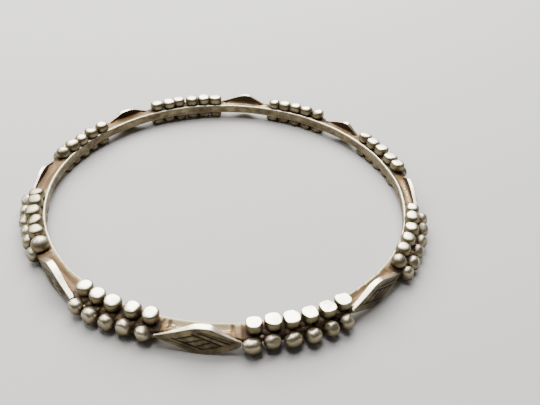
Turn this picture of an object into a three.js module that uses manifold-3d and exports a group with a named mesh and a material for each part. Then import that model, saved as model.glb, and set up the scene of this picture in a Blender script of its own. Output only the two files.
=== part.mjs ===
// Silver bangle: one closed hoop that carries eight lozenge plates and, between them, eight clusters of
// silver shot in three rows. All of it is soldered together, so the finished bangle is one solid.
// Millimetres and degrees. +Z is the hoop's axis, and the bangle lies on z = 0 with its centre at the origin.
import * as THREE from "three";
import { mergeVertices } from "three/addons/utils/BufferGeometryUtils.js";
import Module from "manifold-3d";

// Hoop: a drawn rod with a flat inner face, tapering outwards to a thin edge
const INNER_RADIUS = 30;
const HOOP_DEPTH = 2.9;
const INNER_FACE_HEIGHT = 1.76;
const OUTER_EDGE_HEIGHT = 0.8;
const RIM_BEVEL = 0.2;
const HOOP_STEPS = 72;

// Shot: small silver balls, a row on the upper slope, a row round the outer edge and a row on the lower slope
const SLOPE_SHOT = { radius: 1.2, seat: 31.45, rise: 1.4, top: 0.64 };
const EDGE_SHOT = { radius: 1.12, seat: 33.25, rise: -0.4, top: 0.86 };
const SHOT_SIDES = 10;

// Half outline of a ball from its foot inside the hoop to its worn top, in shares of its radius
const SLOPE_SHOT_OUTLINE = [
  { reach: 0, height: -1.6 },
  { reach: 1, height: -0.06 },
  { reach: 0.86, height: SLOPE_SHOT.top },
  { reach: 0, height: SLOPE_SHOT.top },
];
const EDGE_SHOT_OUTLINE = [
  { reach: 0, height: -1.6 },
  { reach: 1, height: -0.06 },
  { reach: 0.86, height: 0.5 },
  { reach: 0.5, height: EDGE_SHOT.top },
  { reach: 0, height: EDGE_SHOT.top },
];

// Upper edge of a lozenge from tip to tip: the share of the half length, and of the rise from tip to apex
const LOZENGE_EDGE = [
  { along: -1, rise: 0 },
  { along: -0.8, rise: 0.23 },
  { along: -0.22, rise: 0.9 },
  { along: -0.12, rise: 1 },
  { along: 0.12, rise: 1 },
  { along: 0.22, rise: 0.9 },
  { along: 0.8, rise: 0.23 },
  { along: 1, rise: 0 },
];

// Lozenges in order round the hoop, flat plates that stand on its outer edge: the angles of the middle and of
// half the length, half the height, the thickness, the shift of the apex as a share of the half length, the
// inward lean of the top, and the fullness of the lower edge toward the second tip, where 1 is straight
const LOZENGES = [
  { middle: 5, reach: 10.6, halfHeight: 2.1, thickness: 0.75, shift: 0.38, lean: 3, fullness: 1 },
  { middle: 48.4, reach: 8.5, halfHeight: 2.1, thickness: 0.7, shift: -0.12, lean: 3, fullness: 1 },
  { middle: 88.2, reach: 8.4, halfHeight: 1.9, thickness: 0.7, shift: 0, lean: 3, fullness: 1 },
  { middle: 133.4, reach: 9.2, halfHeight: 1.9, thickness: 0.75, shift: -0.08, lean: 3, fullness: 1 },
  { middle: 176.4, reach: 9.2, halfHeight: 1.9, thickness: 0.7, shift: -0.05, lean: 3, fullness: 1 },
  { middle: 223.2, reach: 9.6, halfHeight: 1.65, thickness: 0.8, shift: -0.17, lean: 0, fullness: 1 },
  { middle: 267.6, reach: 10.3, halfHeight: 2.02, thickness: 1.08, shift: 0.12, lean: 8.5, fullness: 0.42 },
  { middle: 317.9, reach: 10.3, halfHeight: 2.12, thickness: 0.95, shift: -0.06, lean: 3, fullness: 1 },
];
const LOZENGE_FACE_RADIUS = 33;
const LOZENGE_TIP_HALF_HEIGHT = 0.22;

// Clusters of shot in order round the hoop: the angle of the middle, the shot in each row, and their spacing
const CLUSTERS = [
  { middle: 28.0, shots: 5, pitch: 4.75 },
  { middle: 68.2, shots: 5, pitch: 4.5 },
  { middle: 110.4, shots: 6, pitch: 4.5 },
  { middle: 154.9, shots: 5, pitch: 4.83 },
  { middle: 199.7, shots: 6, pitch: 4.65 },
  { middle: 244.9, shots: 5, pitch: 5.05 },
  { middle: 293.7, shots: 6, pitch: 4.96 },
  { middle: 342.5, shots: 6, pitch: 4.94 },
];

// The lower shot are flattened like the upper ones, and stand on z = 0
const MIDDLE_HEIGHT = SLOPE_SHOT.rise + SLOPE_SHOT.top * SLOPE_SHOT.radius;
const AGED_SILVER = new THREE.MeshStandardMaterial({ color: 0xb4ab97, metalness: 1, roughness: 0.34 });

const { degToRad } = THREE.MathUtils;
const wasm = await Module();
wasm.setup();

// A closed three.js geometry as a solid that can be joined, without the empty triangles at a lathe's poles
function solidOf(geometry) {
  geometry.deleteAttribute("normal");
  geometry.deleteAttribute("uv");
  const merged = mergeVertices(geometry);
  const corners = merged.index.array;
  const triangles = [];
  for (let i = 0; i < corners.length; i += 3) {
    const [a, b, c] = corners.slice(i, i + 3);
    if (a !== b && b !== c && c !== a) triangles.push(a, b, c);
  }
  const vertProperties = merged.attributes.position.array;
  const triVerts = new Uint32Array(triangles);
  return new wasm.Manifold(new wasm.Mesh({ numProp: 3, vertProperties, triVerts }));
}

// A joined solid back as a three.js geometry
function geometryOf(solid) {
  const mesh = solid.getMesh();
  return new THREE.BufferGeometry()
    .setAttribute("position", new THREE.BufferAttribute(mesh.vertProperties, 3))
    .setIndex(new THREE.BufferAttribute(mesh.triVerts, 1));
}

// A point at a radius, an angle round the hoop, and a height above the hoop's middle plane
function onHoop(radius, degrees, rise) {
  const angle = degToRad(degrees);
  return new THREE.Vector3(radius * Math.cos(angle), radius * Math.sin(angle), MIDDLE_HEIGHT + rise);
}

// The hoop's section turned about the axis, with its two inner corners bevelled
function hoop() {
  const outerRadius = INNER_RADIUS + HOOP_DEPTH;
  const halfInner = INNER_FACE_HEIGHT / 2;
  const halfOuter = OUTER_EDGE_HEIGHT / 2;
  const section = [
    [INNER_RADIUS, RIM_BEVEL - halfInner],
    [INNER_RADIUS + RIM_BEVEL, -halfInner],
    [outerRadius, -halfOuter],
    [outerRadius, halfOuter],
    [INNER_RADIUS + RIM_BEVEL, halfInner],
    [INNER_RADIUS, halfInner - RIM_BEVEL],
    [INNER_RADIUS, RIM_BEVEL - halfInner],
  ].map(([radius, rise]) => new THREE.Vector2(radius, rise));
  return new THREE.LatheGeometry(section, HOOP_STEPS).rotateX(Math.PI / 2).translate(0, 0, MIDDLE_HEIGHT);
}

// One ball, its half outline turned about its own axis
function shot(outline, radius) {
  const profile = outline.map(({ reach, height }) => new THREE.Vector2(reach * radius, height * radius));
  return new THREE.LatheGeometry(profile, SHOT_SIDES);
}

// A ball's geometry with its axis turned outwards and its centre on its seat
function seated(geometry, seat, outward) {
  const turn = new THREE.Quaternion().setFromUnitVectors(new THREE.Vector3(0, 1, 0), outward);
  return geometry.applyQuaternion(turn).translate(seat.x, seat.y, seat.z);
}

// The three balls that stand at one angle: upper, outer and lower
function shotsAt(degrees) {
  const slopeShot = (side) => {
    const seat = onHoop(SLOPE_SHOT.seat, degrees, side * SLOPE_SHOT.rise);
    return seated(shot(SLOPE_SHOT_OUTLINE, SLOPE_SHOT.radius), seat, new THREE.Vector3(0, 0, side));
  };
  const edgeSeat = onHoop(EDGE_SHOT.seat, degrees, EDGE_SHOT.rise);
  const outward = onHoop(1, degrees, -MIDDLE_HEIGHT);
  const edgeShot = seated(shot(EDGE_SHOT_OUTLINE, EDGE_SHOT.radius), edgeSeat, outward);
  return [slopeShot(1), edgeShot, slopeShot(-1)];
}

// Angles of a cluster's balls, in order
function shotAngles({ middle, shots, pitch }) {
  return Array.from({ length: shots }, (_, i) => middle + (i - (shots - 1) / 2) * pitch);
}

// A plate cut to the lozenge outline, leaned inwards and stood on the hoop's outer edge
function lozenge({ middle, reach, halfHeight, thickness, shift, lean, fullness }) {
  const halfLength = LOZENGE_FACE_RADIUS * Math.tan(degToRad(reach));
  const edgeOn = (side) =>
    LOZENGE_EDGE.map(({ along, rise }) => {
      const share = side < 0 && along > 0 ? rise ** fullness : rise;
      const height = LOZENGE_TIP_HALF_HEIGHT + share * (halfHeight - LOZENGE_TIP_HALF_HEIGHT);
      return new THREE.Vector2((along + shift * (1 - Math.abs(along))) * halfLength, side * height);
    });
  const outline = new THREE.Shape([...edgeOn(1), ...edgeOn(-1).reverse()]);
  return new THREE.ExtrudeGeometry(outline, { depth: thickness, bevelEnabled: false })
    .translate(0, 0, -thickness)
    .rotateX(Math.PI / 2 - degToRad(lean))
    .translate(0, -LOZENGE_FACE_RADIUS, MIDDLE_HEIGHT)
    .rotateZ(degToRad(middle + 90));
}

const shots = CLUSTERS.flatMap(shotAngles).flatMap(shotsAt);
const pieces = [...LOZENGES.map(lozenge), ...shots].map(solidOf);
const soldered = pieces.reduce((whole, piece) => whole.add(piece), solidOf(hoop()));

const bangle = new THREE.Mesh(geometryOf(soldered), AGED_SILVER);
bangle.name = "bangle";

const part = new THREE.Group();
part.add(bangle);

export default part;
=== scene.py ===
import bpy
import numpy as np
from mathutils import Matrix, Vector


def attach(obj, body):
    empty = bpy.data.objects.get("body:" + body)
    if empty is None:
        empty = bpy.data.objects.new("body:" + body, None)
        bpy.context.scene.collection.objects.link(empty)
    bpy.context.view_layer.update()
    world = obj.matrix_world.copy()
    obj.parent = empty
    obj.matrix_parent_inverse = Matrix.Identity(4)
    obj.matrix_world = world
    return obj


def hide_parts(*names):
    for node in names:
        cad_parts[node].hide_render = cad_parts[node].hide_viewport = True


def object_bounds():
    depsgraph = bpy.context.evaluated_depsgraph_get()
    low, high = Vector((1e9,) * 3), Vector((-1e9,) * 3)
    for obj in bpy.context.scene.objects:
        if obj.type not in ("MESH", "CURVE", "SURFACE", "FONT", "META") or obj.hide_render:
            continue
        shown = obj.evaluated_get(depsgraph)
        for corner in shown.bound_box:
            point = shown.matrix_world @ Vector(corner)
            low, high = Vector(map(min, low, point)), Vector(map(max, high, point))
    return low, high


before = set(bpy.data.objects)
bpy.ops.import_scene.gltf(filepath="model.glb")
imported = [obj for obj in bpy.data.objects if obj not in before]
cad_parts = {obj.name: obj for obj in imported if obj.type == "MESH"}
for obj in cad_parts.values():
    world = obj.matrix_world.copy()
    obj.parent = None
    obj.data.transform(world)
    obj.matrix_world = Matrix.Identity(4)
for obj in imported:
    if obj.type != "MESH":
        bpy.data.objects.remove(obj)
cad_low, cad_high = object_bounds()


# Hoop. A closed rod of silver, drawn with a flat inner face and two slopes that meet in a thin outer edge.
# It is bent round and its ends are soldered. Wear keeps the inner rims bright; tan dirt lies on the
# slopes, and painted shade darkens the inner face. All sizes are in mm, and heights are above the middle
# plane, which is half way up the frame.
MM = 0.001
MIDDLE = (cad_low[2] + cad_high[2]) / 2 / MM
INNER_RADIUS = 30.0
OUTER_RADIUS = 32.9
HALF_INNER = 0.88
HALF_EDGE = 0.4
RIM = 0.2
INNER_CROWN = 0.03
HOOP_STEPS = 1320
SECTION_POINTS = 64

# Section of the rod as corners, columns radius and height
HOOP_SECTION = np.array([
    (INNER_RADIUS, -HALF_INNER + RIM),
    (INNER_RADIUS - INNER_CROWN, 0.0),
    (INNER_RADIUS, HALF_INNER - RIM),
    (INNER_RADIUS + RIM, HALF_INNER),
    (OUTER_RADIUS, HALF_EDGE),
    (OUTER_RADIUS, -HALF_EDGE),
    (INNER_RADIUS + RIM, -HALF_INNER),
])

# Clusters of shot round the hoop. Columns: angle of the middle and of one step, in degrees, shot in a row,
# and share of the usual size; then, for the worn flats, outward lean in degrees, height as a share of the
# size, polish, squareness in plan and from the side, and crispness of the rim
CLUSTERS = np.array([
    (28.0, 4.75, 5, 1.03, 6.0, 0.82, 0.95, 2.6, 3.0, 10.0),
    (68.2, 4.50, 5, 1.06, 2.0, 0.9, 0.9, 2.3, 2.4, 8.0),
    (110.4, 4.50, 6, 1.06, 2.0, 0.84, 0.85, 2.3, 2.6, 8.0),
    (154.9, 4.83, 5, 1.12, 2.0, 0.93, 0.5, 2.05, 2.2, 8.0),
    (199.7, 4.65, 6, 1.12, 12.0, 0.88, 0.3, 2.6, 2.5, 10.0),
    (244.9, 5.05, 5, 1.1, 5.0, 0.74, 0.9, 2.2, 2.5, 6.0),
    (293.7, 4.96, 6, 1.0, 0.0, 0.67, 1.0, 2.7, 4.0, 24.0),
    (342.5, 4.94, 6, 1.0, 4.0, 0.84, 0.85, 2.4, 2.6, 9.0),
])
CLUSTER_MIDDLE, CLUSTER_STEP, CLUSTER_COUNT = CLUSTERS.T[:3]
CLUSTER_POLISH = CLUSTERS[:, 6]

# Every shot in a row has one line here: the row of its cluster in the table, and its angle in an even row
shot_cluster = np.repeat(np.arange(len(CLUSTERS)), CLUSTER_COUNT.astype(int))
shot_place = np.concatenate([np.arange(n) - (n - 1) / 2 for n in CLUSTER_COUNT])
shot_angle = CLUSTER_MIDDLE[shot_cluster] + shot_place * CLUSTER_STEP[shot_cluster]

# How far each ball stands from its even place, a line for each cluster: degrees round the hoop, and mm
# outwards. Read off the photograph to a twentieth where the ball shows, and chosen elsewhere
UPPER_TURN = np.array([
    0.05, -0.25, 0.45, 0.35, 0.0,
    0.35, 0.5, 0.25, 0.2, -0.35,
    0.25, 0.0, 0.0, 0.45, -0.3, -0.25,
    -0.05, 0.15, 0.35, -0.15, -0.1,
    0.15, -0.65, -0.4, -0.3, -0.5, -0.1,
    0.05, -0.3, -0.55, 0.1, 0.05,
    0.0, -0.1, -0.25, -0.25, -0.1, -0.05,
    0.05, 0.0, 0.0, 0.0, 0.65, 0.1,
])
UPPER_OUT = np.array([
    0.35, 0.15, 0.1, -0.05, 0.05,
    0.2, 0.1, 0.0, -0.15, -0.25,
    -0.2, 0.0, 0.0, 0.25, 0.05, 0.2,
    -0.15, -0.25, -0.4, -0.1, 0.15,
    0.15, 0.15, 0.35, 0.15, 0.3, 0.35,
    -0.05, -0.1, -0.1, -0.35, -0.2,
    0.05, -0.1, 0.05, 0.1, 0.15, 0.0,
    0.3, 0.0, 0.0, 0.0, -0.1, -0.1,
])
EDGE_TURN = np.array([
    0.9, 0.1, 0.1, 0.3, -0.1,
    1.3, 0.5, 0.1, 0.1, 0.0,
    0.0, 0.3, -0.2, 0.2, -0.3, -0.9,
    -0.1, 0.0, -0.1, -0.6, -1.6,
    -0.7, -0.4, -0.6, -0.4, -0.9, -0.2,
    0.3, 0.1, -0.3, -0.65, -0.7,
    -0.8, -0.8, -0.75, -0.7, -0.65, -1.1,
    0.3, -0.2, 0.1, -0.3, 0.2, 0.1,
])
EDGE_OUT = np.array([
    -0.2, -0.1, 0.1, 0.05, -0.05,
    -0.3, -0.15, 0.0, 0.1, -0.1,
    0.0, 0.1, -0.1, 0.05, -0.1, -0.3,
    -0.2, -0.25, -0.3, -0.25, -0.35,
    0.05, -0.05, -0.05, -0.25, -0.25, -0.35,
    0.2, 0.25, 0.05, -0.3, -0.3,
    0.25, -0.25, 0.1, 0.35, 0.2, 0.15,
    0.0, 0.1, -0.05, 0.1, 0.0, -0.1,
])

# Seats of the shot: on the slopes above and below, and round the outer edge, a little below the middle
SLOPE_RADIUS = 1.2
SLOPE_SEAT = 31.45
SLOPE_RISE = 1.4
EDGE_RADIUS = 1.12
EDGE_SEAT = 33.25
EDGE_RISE = -0.4

# Lozenge plates stand between the clusters. Columns: angle of the middle and half length, in degrees, half
# height, radius of the face and thickness, in mm, shift of the apex and length of its worn flat as shares
# of the half length, inward lean of the top in degrees, how full the lower edge stays toward either tip,
# where 1 is straight and less is fuller, how far the first tip is set in and the plate is raised, in mm,
# and the tips' share of the thickness
PLATES = np.array([
    (5.0, 10.6, 2.1, 32.5, 0.75, 0.33, 0.2, 3.0, 1.0, 0.9, 0.0, 0.0, 0.75),
    (49.4, 7.5, 2.1, 32.3, 0.8, -0.27, 0.14, 3.0, 1.0, 1.0, 0.0, 0.1, 0.5),
    (88.9, 7.7, 2.1, 32.8, 0.75, -0.14, 0.16, 3.0, 0.9, 1.0, 0.4, 0.3, 0.5),
    (132.4, 8.2, 1.95, 32.9, 0.75, 0.03, 0.22, 3.0, 1.0, 1.0, 0.0, 0.0, 0.5),
    (176.4, 9.2, 1.9, 32.85, 0.7, -0.05, 0.2, 3.0, 0.9, 1.0, 0.0, 0.0, 0.45),
    (223.6, 9.2, 2.05, 33.15, 1.1, -0.2, 0.14, 0.0, 1.0, 0.8, 0.6, 0.0, 0.75),
    (-92.4, 10.3, 2.12, 33.02, 1.08, 0.12, 0.18, 8.5, 1.0, 0.42, 0.0, 0.0, 0.3),
    (317.9, 10.3, 2.12, 32.5, 0.95, 0.0, 0.15, 3.0, 0.85, 1.0, 0.0, 0.0, 0.8),
])
PLATE_MIDDLE, PLATE_REACH, PLATE_HALF_HEIGHT, PLATE_FACE, PLATE_THICKNESS = PLATES.T[:5]
PLATE_SET_IN = PLATES[:, 10]

# A plate's rough form, for distances from it: radius of its middle, half height of its tips, half length,
# and how fast its edges rise to the apex. What is out of reach counts as far off
ROUGH_RADIUS = 32.4
ROUGH_TIP = 0.2
ROUGH_LENGTH = 5.5
ROUGH_RISE = 1.15
FAR_OFF = 9.0

# Scoop behind a plate, and the fillet of solder along it, which stays below the plate's own edge
SCOOP = 0.34
FILLET = 0.5
FILLET_REACH = 0.5
FILLET_MARGIN = 0.35

# Cuts across the upper slope where a plate ends. Columns: angle in degrees, depth and half width in mm
CROSS_CUTS = np.array([
    (-101.6, 0.26, 0.22), (-99.9, 0.26, 0.28), (-83.8, 0.28, 0.32), (-81.4, 0.16, 0.24),
    (-146.6, 0.2, 0.3), (-144.9, 0.12, 0.2), (-50.6, 0.14, 0.2), (-34.6, 0.14, 0.25),
    (40.6, 0.2, 0.3), (56.2, 0.12, 0.2), (125.4, 0.1, 0.2),
])
CUT_ANGLE, CUT_DEPTH, CUT_HALF_WIDTH = CROSS_CUTS.T
CUT_RADIUS = 31.5

# Nicks in the upper inner rim, at angles in degrees
NICKS = np.random.default_rng(5).uniform(0, 360, 34)
NICK_DEPTH = 0.1
NICK_HALF_WIDTH = 0.16

# Slopes behind plates that hands keep cleaner, up to some degrees to either side. Columns: angle in
# degrees, share of tan dirt worn off
WORN_SLOPES = np.array([(-92.4, 0.42), (88.2, 0.9), (5.0, 0.3)])
WORN_REACH = 9.0

# Waves in a ripple, and the sum of them that counts as 1
RIPPLE_WAVES = 16
RIPPLE_SPAN = 5.6


def smoothstep(low, high, x):
    """0 below low, 1 above high, and 3t^2 - 2t^3 between them."""
    t = np.clip((x - low) / (high - low), 0, 1)
    return t * t * (3 - 2 * t)


def ripple(points, size, seed):
    """Smooth noise from about -1 to 1 with bumps size mm across: random cosine waves, added."""
    rng = np.random.default_rng(seed)
    waves = rng.normal(size=(RIPPLE_WAVES, 3))
    lengths = np.linalg.norm(waves, axis=1, keepdims=True)
    waves *= rng.uniform(0.6, 1.4, (RIPPLE_WAVES, 1)) * np.pi / size / lengths
    phases = rng.uniform(0, 2 * np.pi, RIPPLE_WAVES)
    return np.cos(points @ waves.T + phases).sum(-1) / RIPPLE_SPAN


def round_hoop(radius, degrees, height):
    """The point at a radius, an angle round the axis, and a height above the middle plane."""
    angle = np.radians(degrees)
    x = radius * np.cos(angle)
    y = radius * np.sin(angle)
    return np.stack(np.broadcast_arrays(x, y, MIDDLE + height), -1)


def turn_between(degrees, centre):
    """The signed angle from centre to degrees, the short way round."""
    return (degrees - centre + 180) % 360 - 180


def from_hoop(points):
    """About how far points lie outside the rod: the larger distance past its slopes or its edges."""
    radius = np.hypot(points[..., 0], points[..., 1])
    share = np.clip((radius - INNER_RADIUS) / (OUTER_RADIUS - INNER_RADIUS), 0, 1)
    half = HALF_INNER + (HALF_EDGE - HALF_INNER) * share
    past_slope = np.abs(points[..., 2] - MIDDLE) - half
    return np.maximum(past_slope, np.maximum(radius - OUTER_RADIUS, INNER_RADIUS - radius))


def beside_plates(points):
    """For each point and plate: how far out the point lies, its share of the half length from the plate's
    middle, and half the plate's height there, which falls in a straight line from the apex to the tips."""
    degrees = np.degrees(np.arctan2(points[..., 1], points[..., 0]))
    turn = np.radians(turn_between(degrees[..., None], PLATE_MIDDLE))
    out = np.hypot(points[..., 0], points[..., 1])[..., None] * np.cos(turn)
    half_length = ROUGH_RADIUS * np.sin(np.radians(PLATE_REACH))
    along = np.where(np.abs(turn) < 1, np.abs(out * np.tan(turn)) / half_length, FAR_OFF)
    rise = np.clip(ROUGH_RISE * (1 - along), 0, 1)
    return out, along, ROUGH_TIP + (PLATE_HALF_HEIGHT - ROUGH_TIP) * rise


def from_plates(points):
    """About how far points lie outside the nearest plate: the largest of the distances past its faces, its
    edges and its tips."""
    out, along, half_height = beside_plates(points)
    past_edge = np.abs(points[..., 2, None] - MIDDLE) - half_height
    past_face = np.abs(out - PLATE_FACE + PLATE_THICKNESS / 2) - PLATE_THICKNESS / 2
    past_tip = (along - 1) * ROUGH_LENGTH
    return np.maximum(np.maximum(past_edge, past_face), past_tip).min(-1)


def from_balls(points, own=None):
    """How far points lie outside the nearest ball of any row; own names each point's ball to leave out."""
    apart = np.linalg.norm(points[:, None] - ball_centres, axis=-1) - ball_radii
    if own is not None:
        apart[np.arange(len(points)), own] = FAR_OFF
    return apart.min(1)


def grid_quads(rows, columns, close_rows=False):
    """Faces of a grid stored row by row, whose columns close on themselves, as do its rows if asked."""
    row = np.arange(rows if close_rows else rows - 1)[:, None]
    column = np.arange(columns)[None, :]
    next_row, next_column = (row + 1) % rows, (column + 1) % columns
    corners = [(row, column), (next_row, column), (next_row, next_column), (row, next_column)]
    return np.stack([(r * columns + c).ravel() for r, c in corners], 1)


def linear(code):
    """An sRGB hex colour as linear red, green, blue and alpha."""
    srgb = np.array([int(code[i:i + 2], 16) for i in (1, 3, 5)]) / 255
    return (*np.where(srgb <= 0.04045, srgb / 12.92, ((srgb + 0.055) / 1.055) ** 2.4), 1.0)


def add_node(kind, links=(), values=(), **properties):
    """Adds one node. Links name what feeds an input, values set inputs, and properties set the node."""
    made = tree.nodes.new(kind)
    for name, value in properties.items():
        setattr(made, name, value)
    for name, value in dict(values).items():
        made.inputs[name].default_value = value
    for name, source in dict(links).items():
        tree.links.new(source, made.inputs[name])
    return made


def add_piece(name, points, faces, rubbed_and_highlight, tan, grime_and_shade):
    """A smooth piece of the bangle: points in mm, each with shares of rubbed metal, which also paints
    highlights, of tan dirt, and of grime, which also paints shade.
    """
    mesh = bpy.data.meshes.new(name)
    mesh.from_pydata(points * MM, [], faces)
    mesh.polygons.foreach_set("use_smooth", np.ones(len(mesh.polygons), bool))
    for key, values in (("rubbed_and_highlight", rubbed_and_highlight), ("tan", tan), ("grime_and_shade", grime_and_shade)):
        layer = mesh.attributes.new(key, "FLOAT", "POINT")
        layer.data.foreach_set("value", np.clip(values, 0, 1).astype(np.float32))
    mesh.materials.append(aged_silver)
    mesh.update()
    piece = bpy.data.objects.new(name, mesh)
    bpy.context.scene.collection.objects.link(piece)
    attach(piece, "root")
    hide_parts("bangle")


# Aged silver, hand worked. Under a thin olive-grey tarnish it is satin; rubbed flats and edges are warm
# white. Tan dirt dulls what nothing rubs, and looks golden where it lies thin on rubbed metal. Dark brown
# grime fills the corners.
# The light rubbed layer also carries painted highlights on the tops of the edge balls and the round balls
# and on a few solder lumps; the dark grime layer also carries painted shade on the balls' lower halves,
# the hoop's inner face and the plates' faces and backs.
aged_silver = bpy.data.materials.new("aged_silver_hand_worked")
aged_silver.use_nodes = True
tree = aged_silver.node_tree
tree.nodes.clear()
place = add_node("ShaderNodeTexCoord").outputs["Object"]

# Widths in mm of the patches of mottling and of the speckle, which together make every border uneven
MOTTLE = 1.613
SPECKLE = 0.303
mottle = add_node("ShaderNodeTexNoise", {"Vector": place}, {"Scale": 1 / (MOTTLE * MM), "Detail": 3.0})
speckle = add_node("ShaderNodeTexNoise", {"Vector": place}, {"Scale": 1 / (SPECKLE * MM), "Detail": 2.0})
mottle_shift = add_node("ShaderNodeMapRange", {"Value": mottle.outputs["Fac"]},
                        {"From Min": 0.3, "From Max": 0.7, "To Min": -0.3, "To Max": 0.3})
speckle_shift = add_node("ShaderNodeMapRange", {"Value": speckle.outputs["Fac"]},
                         {"From Min": 0.3, "From Max": 0.7, "To Min": -0.18, "To Max": 0.18})
unevenness = add_node("ShaderNodeMath", {0: mottle_shift.outputs[0], 1: speckle_shift.outputs[0]},
                      operation="ADD").outputs[0]

# Shares of the layers that the mesh names, their borders pushed in and out by the unevenness
layers = {"mottle": mottle.outputs["Fac"], "speckle": speckle.outputs["Fac"]}
for layer, push in (("rubbed_and_highlight", 0.28), ("tan", 0.75), ("grime_and_shade", 0.5)):
    named = add_node("ShaderNodeAttribute", attribute_name=layer)
    pushed = add_node("ShaderNodeMath", {0: unevenness, 2: named.outputs["Fac"]}, {1: push},
                      operation="MULTIPLY_ADD")
    eased = add_node("ShaderNodeMapRange", {"Value": pushed.outputs[0]},
                     {"From Min": 0.1, "From Max": 0.9}, interpolation_type="SMOOTHSTEP")
    layers[layer] = eased.outputs[0]

# How the layers mix. Columns: the mix, the layer whose share decides, and what lies where that share is 0
# and 1, each a colour, a number or a mix above
COLOUR_MIXES = (
    ("tarnish", "mottle", "#8b8165", "#675d45"),
    ("bright metal", "mottle", "#f3ead4", "#ded2b4"),
    ("bare metal", "rubbed_and_highlight", "tarnish", "bright metal"),
    ("thick dirt", "speckle", "#8c6b46", "#57412a"),
    ("dirt", "rubbed_and_highlight", "thick dirt", "#c8a874"),
    ("dirty metal", "tan", "bare metal", "dirt"),
    ("colour", "grime_and_shade", "dirty metal", "#2a1c11"),
)
NUMBER_MIXES = (
    ("metallic of dirt", "rubbed_and_highlight", 0.06, 0.5),
    ("metallic below grime", "tan", 1.0, "metallic of dirt"),
    ("metallic", "grime_and_shade", "metallic below grime", 0.05),
    ("roughness of metal", "rubbed_and_highlight", 0.44, 0.34),
    ("roughness below grime", "tan", "roughness of metal", 0.6),
    ("roughness", "grime_and_shade", "roughness below grime", 0.62),
)

# Kinds of Mix node: the sockets of both ends and of the result, and the mixes of that kind
MIX_KINDS = (("RGBA", (6, 7), 2, COLOUR_MIXES), ("FLOAT", (2, 3), 0, NUMBER_MIXES))
for kind, sockets, output, mixes in MIX_KINDS:
    for mix, share, *ends in mixes:
        links, values = {0: layers[share]}, {}
        for socket, end in zip(sockets, ends):
            if end in layers:
                links[socket] = layers[end]
            else:
                values[socket] = linear(end) if kind == "RGBA" else end
        layers[mix] = add_node("ShaderNodeMix", links, values, data_type=kind).outputs[output]
rough = add_node("ShaderNodeMath", {0: unevenness, 2: layers["roughness"]}, {1: 0.12},
                 operation="MULTIPLY_ADD")

# Scratches are 1.11 mm long and a ninth of that wide, coarser than real ones, so that they show; dents are
# 0.8 mm across
SCRATCH = 1.111
DENT = 0.8
lay = add_node("ShaderNodeMapping", {"Vector": place},
               {"Rotation": (0.3, 0.5, 0.4), "Scale": (1.0, 9.0, 3.0)})
scratches = add_node("ShaderNodeTexNoise", {"Vector": lay.outputs[0]},
                     {"Scale": 1 / (SCRATCH * MM), "Detail": 2.0})
dents = add_node("ShaderNodeTexNoise", {"Vector": place}, {"Scale": 1 / (DENT * MM), "Detail": 1.0})
dented = add_node("ShaderNodeBump", {"Height": dents.outputs["Fac"]},
                  {"Strength": 0.18, "Distance": 0.08 * MM})
scratched = add_node("ShaderNodeBump", {"Height": scratches.outputs["Fac"], "Normal": dented.outputs[0]},
                     {"Strength": 0.1, "Distance": 0.03 * MM})
shader = add_node("ShaderNodeBsdfPrincipled",
                  {"Base Color": layers["colour"], "Metallic": layers["metallic"],
                   "Roughness": rough.outputs[0], "Normal": scratched.outputs[0]},
                  {"Specular IOR Level": 0.2})
add_node("ShaderNodeOutputMaterial", {"Surface": shader.outputs[0]})

# The hoop's dirt follows the balls of all three rows
ball_centres = np.concatenate([
    round_hoop(SLOPE_SEAT + UPPER_OUT, shot_angle + UPPER_TURN, SLOPE_RISE),
    round_hoop(EDGE_SEAT + EDGE_OUT, shot_angle + EDGE_TURN, EDGE_RISE),
    round_hoop(SLOPE_SEAT, shot_angle, -SLOPE_RISE),
])
ball_radii = np.repeat([SLOPE_RADIUS, EDGE_RADIUS, SLOPE_RADIUS], len(shot_angle))


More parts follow.
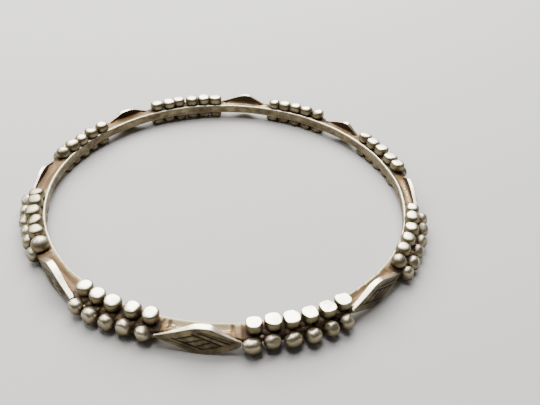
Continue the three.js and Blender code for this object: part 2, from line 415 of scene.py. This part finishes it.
def hoop_surface():
    """The rod's section, its corners rounded by averaging neighbours, carried round the axis. Between
    plate and rim each slope sinks in a shallow scoop and rises again in a fillet of solder along the
    plate, whose seat is filed into the outer edge. Cuts cross the upper slope, and nicks and low ripples
    make the rims uneven. Also gives each point's first radius and its depth of cut."""
    corners = np.vstack([HOOP_SECTION, HOOP_SECTION[:1]])
    lengths = np.concatenate([[0], np.cumsum(np.linalg.norm(np.diff(corners, axis=0), axis=1))])
    along = np.linspace(0, lengths[-1], SECTION_POINTS, endpoint=False)
    section = np.stack([np.interp(along, lengths, corners[:, i]) for i in (0, 1)], 1)
    section = (np.roll(section, 1, 0) + 2 * section + np.roll(section, -1, 0)) / 4
    drawn, height = section.T
    depth = drawn - INNER_RADIUS
    degrees = np.linspace(0, 360, HOOP_STEPS, endpoint=False)[:, None]

    near = np.abs(turn_between(degrees, PLATE_MIDDLE)) / PLATE_REACH
    behind_plate = (1 - smoothstep(0.6, 1.0, near)).max(1, keepdims=True)
    on_slope = smoothstep(0.4, 1.5, depth)
    seat = OUTER_RADIUS - PLATE_FACE + PLATE_THICKNESS / 2 + PLATE_SET_IN / 2
    filed = ((1 - smoothstep(0.75, 1.15, near)) * seat).max(1, keepdims=True)
    radius = drawn - filed * smoothstep(0.9, 2.9, depth)
    sink = SCOOP * behind_plate * on_slope * (1 - 0.5 * smoothstep(2.2, 2.9, depth))

    away = np.radians(turn_between(degrees, CUT_ANGLE)) * CUT_RADIUS
    notch = np.clip(1.5 * (1 - np.abs(away) / CUT_HALF_WIDTH), 0, 1)
    cut = (notch * CUT_DEPTH).sum(1, keepdims=True) * smoothstep(0.4, 1.1, depth) * (height > 0)
    height = height - np.sign(height) * np.minimum(sink + cut, np.abs(height) - 0.05)

    points = round_hoop(radius, degrees, height)
    room = beside_plates(points)[2].max(-1) - FILLET_MARGIN - np.abs(height)
    fillet = FILLET * np.exp(-(from_plates(points) / FILLET_REACH) ** 2) * on_slope
    height = height + np.sign(height) * np.clip(fillet, 0, np.maximum(room, 0))

    rim = np.exp(-((depth - 0.1) / 0.35) ** 2)
    radius = radius + (0.05 * ripple(points, 5.0, 1) + 0.015 * ripple(points, 1.1, 2)) * rim
    from_nicks = np.radians(turn_between(degrees, NICKS)) * INNER_RADIUS
    nick = np.exp(-(from_nicks / NICK_HALF_WIDTH) ** 2).sum(1, keepdims=True)
    height = height - NICK_DEPTH * nick * rim * (height > 0)
    uneven = 0.04 * ripple(points, 3.0, 3) * rim + 0.03 * ripple(points, 0.9, 4) * on_slope
    points = round_hoop(radius, degrees, height + np.sign(height) * uneven)
    return points.reshape(-1, 3), np.tile(drawn, HOOP_STEPS), cut.ravel()


# Distances in mm: from the inner face outwards, from the middle plane, and from the nearest ball and plate
points, radius, cut = hoop_surface()
depth = radius - INNER_RADIUS
height = np.abs(points[:, 2] - MIDDLE)
by_ball = from_balls(points)
by_plate = from_plates(points)
degrees = np.degrees(np.arctan2(points[:, 1], points[:, 0]))[:, None]
on_slope = smoothstep(0.4, 0.95, depth)
on_rim = np.exp(-((depth - 0.12) / 0.16) ** 2) * smoothstep(0.45, 0.75, height)
inner = (1 - smoothstep(0.02, 0.14, depth)) * (1 - on_rim)
past_cluster = np.abs(turn_between(degrees, CLUSTER_MIDDLE)) - CLUSTER_STEP * CLUSTER_COUNT / 2
in_cluster = (1 - smoothstep(0.0, 1.6, past_cluster)).max(1)
from_worn = turn_between(degrees, WORN_SLOPES[:, 0])
worn = (np.exp(-(from_worn / WORN_REACH) ** 4) * WORN_SLOPES[:, 1]).sum(1)
worn = worn * (1 - smoothstep(1.8, 2.3, depth))
sheltered = (1 - worn) * (1 - smoothstep(0.1, 1.2, np.minimum(by_ball, by_plate)))

rubbed_and_highlight = 0.75 * on_rim + (0.2 + worn) * on_slope
tan = (0.78 + 0.3 * sheltered - 0.6 * worn) * on_slope + 0.25 * inner + 0.5 * cut
grime_and_shade = 0.8 * (1 - smoothstep(-0.1, 0.8, by_ball)) + 0.5 * cut
grime_and_shade = grime_and_shade + 0.55 * (1 - worn) * (1 - smoothstep(0.0, 0.3, by_plate))
grime_and_shade = np.maximum(grime_and_shade, 0.75 * in_cluster * smoothstep(0.3, 1.2, depth)) * smoothstep(0.2, 1.0, depth)
# Grime on the inner face is painted shade: it darkens the face as the reflection of the shaded floor
# would.
grime_and_shade = grime_and_shade + 0.34 * inner
add_piece("hoop", points, grid_quads(HOOP_STEPS, SECTION_POINTS, True), rubbed_and_highlight, tan, grime_and_shade)


# Lozenge plates. Eight pointed plates cut from thick silver sheet and soldered upright on the hoop's outer
# edge. Their edges are rubbed bright, and their faces and backs are darkened with painted shade, the backs
# most toward the top.
# On the face three engraved lines follow one long edge and two the opposite one, with rungs between.
TIP_HALF_HEIGHT = 0.18
BEND_RADIUS = 80.0
CORNER = 0.13
GROOVE_DEPTH = 0.14
APEX_POWER = 16.0
PLATE_STEPS = 250
FACE_POINTS = 84
BACK_POINTS = 18
CORNER_POINTS = 5
EDGE_POINTS = 7

# Engraved lines, in the sum of both coordinates of a lozenge whose corners lie at 1 on each axis, with
# their depth; rungs in the difference of both; and each plate's width of line
GROOVES = ((0.35, 1.0), (0.66, 1.0), (0.86, 0.5), (-0.53, 1.0), (-0.76, 0.35))
RUNGS = (0.48, 0.05, -0.38, -0.8)
RUNG_DEPTH = 0.75
LINE_WIDTHS = (0.042, 0.038, 0.04, 0.04, 0.038, 0.036, 0.04, 0.06)


def engraving(along, up, width, rng):
    """Depth of the engraved lines, from 0 to 1. Lines run at a constant sum of both coordinates, and the
    rungs between the first and the fourth of them at a constant difference. Each is a little askew."""
    across, lengthwise = along + up, up - along
    depth = np.zeros_like(along)
    for line, strength in GROOVES:
        apart = across - line - rng.normal(0, 0.02) - 0.04 * rng.normal() * lengthwise
        reach = 1 - smoothstep(0.66, 0.8, np.abs(lengthwise + 0.1))
        depth = np.maximum(depth, strength * np.exp(-(apart / width) ** 2) * reach)
    for line in RUNGS:
        apart = lengthwise - line - rng.normal(0, 0.025) - 0.05 * rng.normal() * across
        reach = smoothstep(-0.55, -0.5, across) * (1 - smoothstep(0.32, 0.37, across))
        depth = np.maximum(depth, RUNG_DEPTH * np.exp(-(apart / width) ** 2) * reach)
    return depth


def half_section(flat_points):
    """Half the plate's outline across its length: a broad side, a corner, the upper edge and the next
    corner; the other half is this one turned by half a turn. Columns: which side (1 face, -1 back) and
    which edge (1 upper, -1 lower), both running evenly between corners, and the corner's own arc."""
    arc = np.linspace(0, np.pi / 2, CORNER_POINTS)
    over = np.linspace(1, -1, EDGE_POINTS)[1:-1]
    stretches = [
        (1, np.linspace(-1, 1, flat_points), 1, 0),
        (1, 1, np.cos(arc[1:]), np.sin(arc[1:])),
        (over, 1, 0, 1),
        (-1, 1, -np.sin(arc[:-1]), np.cos(arc[:-1])),
    ]
    return np.vstack([np.stack(np.broadcast_arrays(*columns), 1) for columns in stretches])


def plate_surface(index):
    """The section carried along the plate. Upper and lower edges rise from the tips to a worn flat apex,
    gently at first, as the soft minimum of a straight rise and the flat, and the engraved lines sink into
    the face. The plate leans and bends a little round the hoop. Also gives for each point the depth of the
    engraving, and whether it lies on an edge, on the back and near the apex."""
    middle, half_turn, half_height, face, full_thick, shift, flat, lean = PLATES[index, :8]
    full_first, full_second, set_in, raised, tips = PLATES[index, 8:]
    rng = np.random.default_rng(40 + index)
    half_length = face * np.tan(np.radians(half_turn))
    even = np.linspace(-1, 1, PLATE_STEPS)
    share = 0.7 * even + 0.3 * np.sin(even * np.pi / 2)
    toward = np.where(share < shift, (1 + share) / (1 + shift), (1 - share) / (1 - shift))
    slope = np.clip(toward / (1 - flat), 1e-4, 1.6)
    rise = (slope ** -APEX_POWER + 1) ** (-1 / APEX_POWER)
    rise = rise * (0.86 + 0.14 * rise)
    fuller = np.where(share < shift, full_first, full_second)
    upper = TIP_HALF_HEIGHT + (half_height - TIP_HALF_HEIGHT) * rise
    lower = TIP_HALF_HEIGHT + (half_height - TIP_HALF_HEIGHT) * rise ** fuller

    side, edge, arc_out, arc_up = np.vstack([half_section(FACE_POINTS), -half_section(BACK_POINTS)]).T
    half = np.where(edge > 0, upper[:, None], lower[:, None])
    corner = np.minimum(CORNER, 0.45 * half)
    thick = (full_thick * (tips + (1 - tips) * smoothstep(0.0, 0.9, toward)))[:, None]
    height = edge * (half - corner) + arc_up * corner
    along = np.broadcast_to((share * half_length)[:, None], height.shape)
    on_face = (side == 1) & (arc_out == 1)
    carved = engraving(along / half_length, height / half_height, LINE_WIDTHS[index], rng) * on_face

    out = face - thick / 2 + side * (thick / 2 - corner) + arc_out * corner - GROOVE_DEPTH * carved
    out = out - along ** 2 / (2 * BEND_RADIUS) - np.tan(np.radians(lean)) * height
    out = out - set_in * (1 - share[:, None]) / 2
    turned = np.radians(middle)
    x = out * np.cos(turned) - along * np.sin(turned)
    y = out * np.sin(turned) + along * np.cos(turned)
    points = np.stack([x, y, MIDDLE + raised + height], -1)
    bumps = 0.025 * ripple(points, 2.2, 60 + index) + 0.006 * ripple(points, 0.7, 80 + index)
    outward = np.stack([np.cos(turned) * side, np.sin(turned) * side, edge * np.abs(arc_up)], -1)
    shares = np.abs(arc_up), np.clip(-arc_out, 0, 1), smoothstep(0.55, 0.95, toward)[:, None]
    return points + outward * bumps[..., None], carved, *(np.broadcast_to(a, height.shape) for a in shares)


def tip_caps(rows, columns):
    """Triangles that close the first and the last row of a grid, each to a point stored after the grid."""
    first = np.arange(columns)
    last = (rows - 1) * columns + first
    first_tip = np.full(columns, rows * columns)
    start = np.stack([first_tip, first, np.roll(first, -1)], 1)
    end = np.stack([first_tip + 1, np.roll(last, -1), last], 1)
    return start.tolist() + end.tolist()


for index in range(len(PLATES)):
    points, *shares = plate_surface(index)
    rows, columns = points.shape[:2]
    points = np.vstack([points.reshape(-1, 3), points[0].mean(0), points[-1].mean(0)])
    carved, on_edge, inside, at_apex = (np.append(a.ravel(), [0, 0]) for a in shares)
    above = from_hoop(points)
    close = 1 - smoothstep(0.0, 1.1, np.minimum(above, from_balls(points)))
    rubbed_and_highlight = (0.65 + 0.3 * at_apex) * smoothstep(0.3, 0.8, on_edge)
    tan = (0.8 - 0.45 * smoothstep(0.2, 0.9, above)) * inside + 0.2 * close * (1 - on_edge)
    # The back darkens the higher it stands above the hoop, and face and back darken all over: painted
    # shade, besides the real dirt in the engraved lines.
    grime_and_shade = 0.6 * carved + (0.8 * smoothstep(0.05, 0.65, above) - 0.1) * inside
    grime_and_shade = grime_and_shade + (0.32 + 0.1 * close) * (1 - on_edge)
    faces = grid_quads(rows, columns).tolist() + tip_caps(rows, columns)
    add_piece(f"lozenge_plate_{index + 1}", points, faces, rubbed_and_highlight, tan, grime_and_shade)


# Shot. Small silver balls, melted from clippings, in three rows: on the upper slope, round the edge, on
# the lower. Each is soldered to the hoop. Long wear has ground the upper and lower ones flat.
BALL_RINGS = 40
BALL_SPOKES = 44
FACETS = 6

# Height of the lower row's flats as a share of the size, and squareness of every ball below its middle
LOWER_TOP = 0.64
BELOW_SQUARE = 1.85

# Upper balls that wear has left round: their places among all upper balls, their sizes as shares of the
# usual one, and how much deeper they sit, in mm
ROUND_SHOT = [20, 26, 38]
ROUND_SIZES = np.array([1.04, 1.22, 1.0])
ROUND_DROP = np.array([0.1, 0.3, 0.2])

# For each cluster, how far its upper balls are raised, in mm, and the darkening added below its balls,
# partly dirt and partly painted shade
CLUSTER_LIFT = np.array([0.0, 0.0, 0.0, -0.12, -0.05, 0.12, 0.0, 0.0])
CLUSTER_DIRT_AND_SHADE = np.array([0.2, 0.3, 0.3, 0.2, 0.1, 0.0, 0.0, 0.1])

# Balls that are shorter or longer along the row than across it
upper_stretch = np.ones(len(shot_angle))
upper_stretch[21:26] = 0.97
edge_stretch = np.ones(len(shot_angle))
edge_stretch[32:36] = 1.32, 1.17, 1.2, 1.1


def round_axes(degrees):
    """Unit vectors at angles round the hoop: outwards from its axis, and along it."""
    radial = round_hoop(1.0, degrees, -MIDDLE)
    return radial, np.stack([-radial[:, 1], radial[:, 0], np.zeros(len(degrees))], 1)


def ball_directions(polar, spokes):
    """Unit vectors in rings from pole to pole, at given polar angles, with even spokes round each."""
    polar = polar[:, None]
    spoke = np.linspace(0, 2 * np.pi, spokes, endpoint=False)
    x = np.sin(polar) * np.cos(spoke)
    y = np.sin(polar) * np.sin(spoke)
    return np.stack(np.broadcast_arrays(x, y, np.cos(polar)), -1)


def repeated_quads(count, rows, columns):
    """Faces of several like grids whose points are stored one grid after the other."""
    starts = np.arange(count) * rows * columns
    return (grid_quads(rows, columns)[None] + starts[:, None, None]).reshape(-1, 4)


def worn_balls(centres, outward, along, sizes, plan, square, planes, heights, crisp, stretch):
    """Balls seen from their centres: along each direction the surface lies at the soft minimum of a ball,
    squared in plan and above the middle, and of the planes ground on it. Also gives the share of the first
    plane in that. Rings lie closest where the flats end. Stretch is a factor for each own axis."""
    steps = np.linspace(0, np.pi, 400)
    dense = np.cumsum(1 + 2.5 * np.exp(-((steps - 1.0) / 0.25) ** 2))
    polar = np.interp(np.linspace(dense[0], dense[-1], BALL_RINGS), dense, steps)
    direction = ball_directions(polar, BALL_SPOKES)
    x, y, z = np.moveaxis(np.abs(direction), -1, 0)
    plan, square, crisp = (power[:, None, None] for power in (plan, square, crisp))
    across = np.maximum(x ** plan + y ** plan, 1e-12) ** (1 / plan)
    square = np.where(direction[..., 2] > 0, square, BELOW_SQUARE)
    ball = (across ** square + z ** square) ** (1 / square) / sizes[:, None, None]
    ground = np.maximum(np.einsum("rsk,npk->nrsp", direction, planes), 1e-6) / heights[:, None, None, :]
    total = ball ** crisp + (ground ** crisp[..., None]).sum(-1)
    local = direction * (total ** (-1 / crisp))[..., None] * stretch[:, None, None, :]
    frames = np.stack([along, np.cross(outward, along), outward], 1)
    points = centres[:, None, None, :] + np.einsum("nrsk,nkj->nrsj", local, frames)
    return points, local, ground[..., 0] ** crisp / total


def shot_row(side, degrees, seat, rise, size, longer, seed):
    """One row of balls. Side is 1 or -1 for the slopes, whose flats face up or down, and 0 for the edge,
    whose balls keep their round form under a few small facets. Longer is each ball's stretch along it."""
    rng = np.random.default_rng(seed)
    count = len(degrees)
    share, lean, top, _, plan, square, crisp = CLUSTERS[shot_cluster, 3:].T
    sizes = size * share * (1 + rng.normal(0, 0.025, count))
    radial, along = round_axes(degrees)
    if side:
        outward = np.tile([0.0, 0.0, side], (count, 1))
        tilt = np.radians(lean + rng.normal(0, 2.0, count)) * (side > 0)
        flat = np.stack([rng.normal(0, 0.04, count) * (side > 0), -np.sin(tilt), np.cos(tilt)], 1)
        tops = np.full(count, LOWER_TOP * size)
        if side > 0:
            tops = top * size + 0.02 * rng.normal(size=count)
            sizes[ROUND_SHOT] = size * ROUND_SIZES
            tops[ROUND_SHOT] = 1.2 * size * ROUND_SIZES
            plan[ROUND_SHOT] = square[ROUND_SHOT] = 2.0
            crisp[ROUND_SHOT] = 24.0
    else:
        outward, along = radial, np.tile([0.0, 0.0, 1.0], (count, 1))
        flat = np.stack([rng.normal(0.1, 0.15, count), rng.normal(0, 0.15, count), np.ones(count)], 1)
        tops = size * (0.97 + rng.normal(0, 0.02, count))
        plan = 2.1 + np.abs(rng.normal(0, 0.2, count))
        square = np.full(count, 2.1)
        crisp = np.full(count, 16.0)
    hammered = (tops > 0.86 * size) & (side >= 0)
    spread = np.where(hammered[:, None], [1, 1, 0.9], [1, 1, 0.45])
    facets = rng.normal(size=(count, FACETS, 3)) * spread[:, None, :]
    planes = np.concatenate([flat[:, None, :], facets], 1)
    planes /= np.linalg.norm(planes, axis=2, keepdims=True)
    nearest_facet = np.where(hammered, 0.94 if side else 0.89, 1.02)[:, None]
    facet_share = nearest_facet + rng.uniform(0, 0.1, (count, FACETS))
    heights = np.column_stack([tops, sizes[:, None] * facet_share])
    centres = round_hoop(seat, degrees, rise)
    stretch = np.ones((count, 3))
    stretch[:, 0 if side else 1] = longer
    plan = np.maximum(plan, 2.0)
    return worn_balls(centres, outward, along, sizes, plan, square, planes, heights, crisp, stretch)


def add_row(name, side, degrees, seat, rise, size, longer, seed, first):
    """Makes a row of shot and works out its colour: tan dirt and grime gather near the hoop and between
    neighbours, the lower halves are darkened, partly with dirt and partly as painted shade, and the edge
    balls grow lighter toward the top as a painted highlight. First is the row's first place among the
    balls of all rows."""
    points, local, on_flat = shot_row(side, degrees, seat, rise, size, longer, seed)
    count, per_ball = len(points), BALL_RINGS * BALL_SPOKES
    points = points.reshape(-1, 3)
    on_flat = on_flat.ravel()
    own = first + np.repeat(np.arange(count), per_ball)
    nearest = np.minimum(from_balls(points, own), from_hoop(points) - 0.05)
    nearest = np.minimum(nearest, from_plates(points))
    close = 1 - smoothstep(0.0, 0.55, nearest)
    high = (local[..., 2] / size).ravel()
    centre_heights = MIDDLE + np.broadcast_to(rise, count)
    upward = (points[:, 2] - np.repeat(centre_heights, per_ball)) / size
    below = 1 - smoothstep(-0.8, 0.45, upward)
    if side:
        polish_and_highlight = CLUSTER_POLISH[shot_cluster]
        # Round balls take full polish: their tops are lighter, partly wear and partly a painted highlight.
        polish_and_highlight[ROUND_SHOT] = 1.0
        polish_and_highlight = np.repeat(polish_and_highlight, per_ball)
        rounding = 0.15 * smoothstep(0.1, 0.5, high) + 0.4 * smoothstep(0.5, 0.95, high)
        rubbed_and_highlight = on_flat * polish_and_highlight + rounding * (0.3 + 0.7 * polish_and_highlight)
    else:
        # Edge balls: a light rub all over, lighter toward the top, which is a painted highlight.
        rubbed_and_highlight = 0.15 + 0.4 * smoothstep(-0.2, 0.9, upward)
    kept = 1 - on_flat * (side != 0)
    # Lower halves are darkened, partly with dirt and partly as painted shade, more in some clusters.
    dirt_and_shade_below = np.repeat(CLUSTER_DIRT_AND_SHADE[shot_cluster], per_ball)
    tan = (0.45 * close + 0.25 * below) * kept
    grime_and_shade = (0.6 * (1 - smoothstep(-0.1, 0.6, nearest)) + (0.55 + dirt_and_shade_below) * below) * kept
    add_piece(name, points, repeated_quads(count, BALL_RINGS, BALL_SPOKES), rubbed_and_highlight, tan, grime_and_shade)


count = len(shot_angle)
upper_rise = SLOPE_RISE + CLUSTER_LIFT[shot_cluster]
upper_rise[ROUND_SHOT] -= ROUND_DROP
add_row("upper_shot", 1, shot_angle + UPPER_TURN, SLOPE_SEAT + UPPER_OUT, upper_rise, SLOPE_RADIUS,
        upper_stretch, 11, 0)
add_row("edge_shot", 0, shot_angle + EDGE_TURN, EDGE_SEAT + EDGE_OUT, EDGE_RISE, EDGE_RADIUS,
        edge_stretch, 12, count)
add_row("lower_shot", -1, shot_angle, SLOPE_SEAT, -SLOPE_RISE, SLOPE_RADIUS, np.ones(count), 13, 2 * count)


# Solder. Silver solder holds the shot and the plates. It stands in small lumps in the valleys between the
# rows, brown with dirt. A few lumps are lighter, partly clean solder and partly painted glints: beside
# balls at the front, at the tips of the front plate, and behind the plate at 5 degrees.
LUMP_RINGS = 9
LUMP_SPOKES = 14
LUMP_UNEVENNESS = 0.14
VALLEY_STEP = 1.2

# Lumps lightened as painted glints. Columns: angle in degrees, radius and height above the middle plane in
# mm, and half sizes in mm along the hoop, across it and upwards
GLINT_LUMPS = np.array([
    (-102.1, 31.3, 0.4, 0.2, 0.55, 0.16),
    (-100.5, 31.2, 0.42, 0.24, 0.6, 0.14),
    (-98.9, 31.1, 0.4, 0.45, 0.34, 0.12),
    (-84.9, 31.25, 0.4, 0.45, 0.3, 0.12),
    (-82.5, 31.4, 0.4, 0.36, 0.45, 0.14),
    (-122.6, 33.0, 0.1, 0.26, 0.26, 0.2),
    (-117.9, 32.45, 0.3, 0.3, 0.26, 0.16),
    (-76.5, 31.6, 0.42, 0.3, 0.3, 0.16),
    (-77.1, 32.55, 0.36, 0.34, 0.3, 0.2),
    (-66.7, 32.35, 0.36, 0.34, 0.3, 0.2),
    (-51.2, 32.1, 0.36, 0.36, 0.32, 0.14),
    (-52.1, 32.7, 0.28, 0.3, 0.3, 0.16),
    (1.2, 31.4, 0.55, 0.5, 0.34, 0.16),
    (4.6, 31.45, 0.52, 0.6, 0.3, 0.14),
    (8.0, 31.4, 0.55, 0.5, 0.36, 0.16),
])


def lumps(degrees, radius, height, half_along, half_across, half_up, seed):
    """Blobs of solder: balls stretched by their half sizes, their surface pushed in and out by noise."""
    ball = ball_directions(np.linspace(0, np.pi, LUMP_RINGS), LUMP_SPOKES)
    axes = np.column_stack([half_along, half_across, half_up])
    centres = round_hoop(radius, degrees, height)[:, None, None, :]
    local = ball * axes[:, None, None, :]
    local = local * (1 + LUMP_UNEVENNESS * ripple(local + centres, 0.5, seed))[..., None]
    radial, along = round_axes(degrees)
    frames = np.stack([along, radial, np.tile([0.0, 0.0, 1.0], (len(degrees), 1))], 1)
    return (centres + np.einsum("nrsk,nkj->nrsj", local, frames)).reshape(-1, 3)


# Three dull lumps between each ball and the next, above and below
rng = np.random.default_rng(21)
neighbours = shot_cluster[1:] == shot_cluster[:-1]
between = ((shot_angle[1:] + shot_angle[:-1]) / 2)[neighbours]
valley = np.concatenate([between, between + VALLEY_STEP, between - VALLEY_STEP])
side = np.repeat([1.0, -1.0], len(valley))
count = len(side)
degrees = np.concatenate([valley, valley]) + rng.normal(0, 0.4, count)
half_along = rng.uniform(0.35, 0.6, count)
radius = rng.uniform(32.1, 32.7, count)
height = side * rng.uniform(0.35, 0.6, count)
half_across = half_along * rng.uniform(0.8, 1.2, count)
half_up = half_along * rng.uniform(0.55, 0.8, count)
dull = lumps(degrees, radius, height, half_along, half_across, half_up, 22)
bright = lumps(*GLINT_LUMPS.T, 23)

points = np.vstack([dull, bright])
is_glint_lump = np.repeat([0.0, 1.0], [len(dull), len(bright)])
quads = repeated_quads(count + len(GLINT_LUMPS), LUMP_RINGS, LUMP_SPOKES)
# The glinting lumps get more rubbed metal, less tan and no grime: painted glints on real solder.
add_piece("solder", points, quads, 0.1 + 0.3 * is_glint_lump, 0.6 - 0.14 * is_glint_lump, 0.62 * (1 - is_glint_lump))


# Stage. A plain pale floor under the bangle in a dim, even room. One large soft light stands above and
# behind, a weak one at the left and another overhead.
bpy.ops.mesh.primitive_plane_add(size=3.0)
floor = bpy.context.object
floor.name = "floor"
paper = bpy.data.materials.new("matt_pale_paper")
paper.use_nodes = True
paper_shader = paper.node_tree.nodes["Principled BSDF"]
paper_shader.inputs["Base Color"].default_value = linear("#b6b4b1")
paper_shader.inputs["Roughness"].default_value = 0.9
floor.data.materials.append(paper)

world = bpy.data.worlds.new("soft_room")
world.use_nodes = True
room_light = world.node_tree.nodes["Background"]
room_light.inputs["Color"].default_value = linear("#dddcd9")
room_light.inputs["Strength"].default_value = 0.16
bpy.context.scene.world = world


def add_light(name, spot, width, depth, power):
    """An oblong area light of width by depth mm at spot, in mm, turned to the origin."""
    light = bpy.data.lights.new(name, "AREA")
    light.shape = "RECTANGLE"
    light.size = width * MM
    light.size_y = depth * MM
    light.energy = power
    lamp = bpy.data.objects.new(name, light)
    lamp.location = Vector(spot) * MM
    lamp.rotation_euler = (-Vector(spot)).to_track_quat("-Z", "Y").to_euler()
    bpy.context.scene.collection.objects.link(lamp)


add_light("back_softbox", (-40, 245, 280), 390, 330, 5.6)
add_light("left_softbox", (-260, 40, 220), 160, 160, 0.5)
add_light("top_softbox", (-50, 0, 340), 130, 130, 0.7)

# Camera. Its height, turn, distance and reach are those of the photograph, whose frame is 540 pixels wide.
ELEVATION = np.radians(37.10)
ROLL = np.radians(3.26)
DISTANCE = 118.1
AIM = np.array([7.374, -2.298, MIDDLE + HALF_INNER])
PHOTO_WIDTH = 540
FOCAL_PIXELS = 699.9
forward = np.array([0.0, np.cos(ELEVATION), -np.sin(ELEVATION)])
level = np.array([1.0, 0.0, 0.0])
upright = np.array([0.0, np.sin(ELEVATION), np.cos(ELEVATION)])
right = np.cos(ROLL) * level + np.sin(ROLL) * upright
top = np.cos(ROLL) * upright - np.sin(ROLL) * level
spot = (AIM - forward * DISTANCE) * MM
lens = bpy.data.cameras.new("camera")
lens.sensor_width = 36.0
lens.lens = FOCAL_PIXELS / PHOTO_WIDTH * lens.sensor_width
lens.clip_start = 5 * MM
camera = bpy.data.objects.new("camera", lens)
turned = np.column_stack([right, top, -forward, spot])
camera.matrix_world = Matrix(np.vstack([turned, [0, 0, 0, 1]]).tolist())
bpy.context.scene.collection.objects.link(camera)
bpy.context.scene.camera = camera
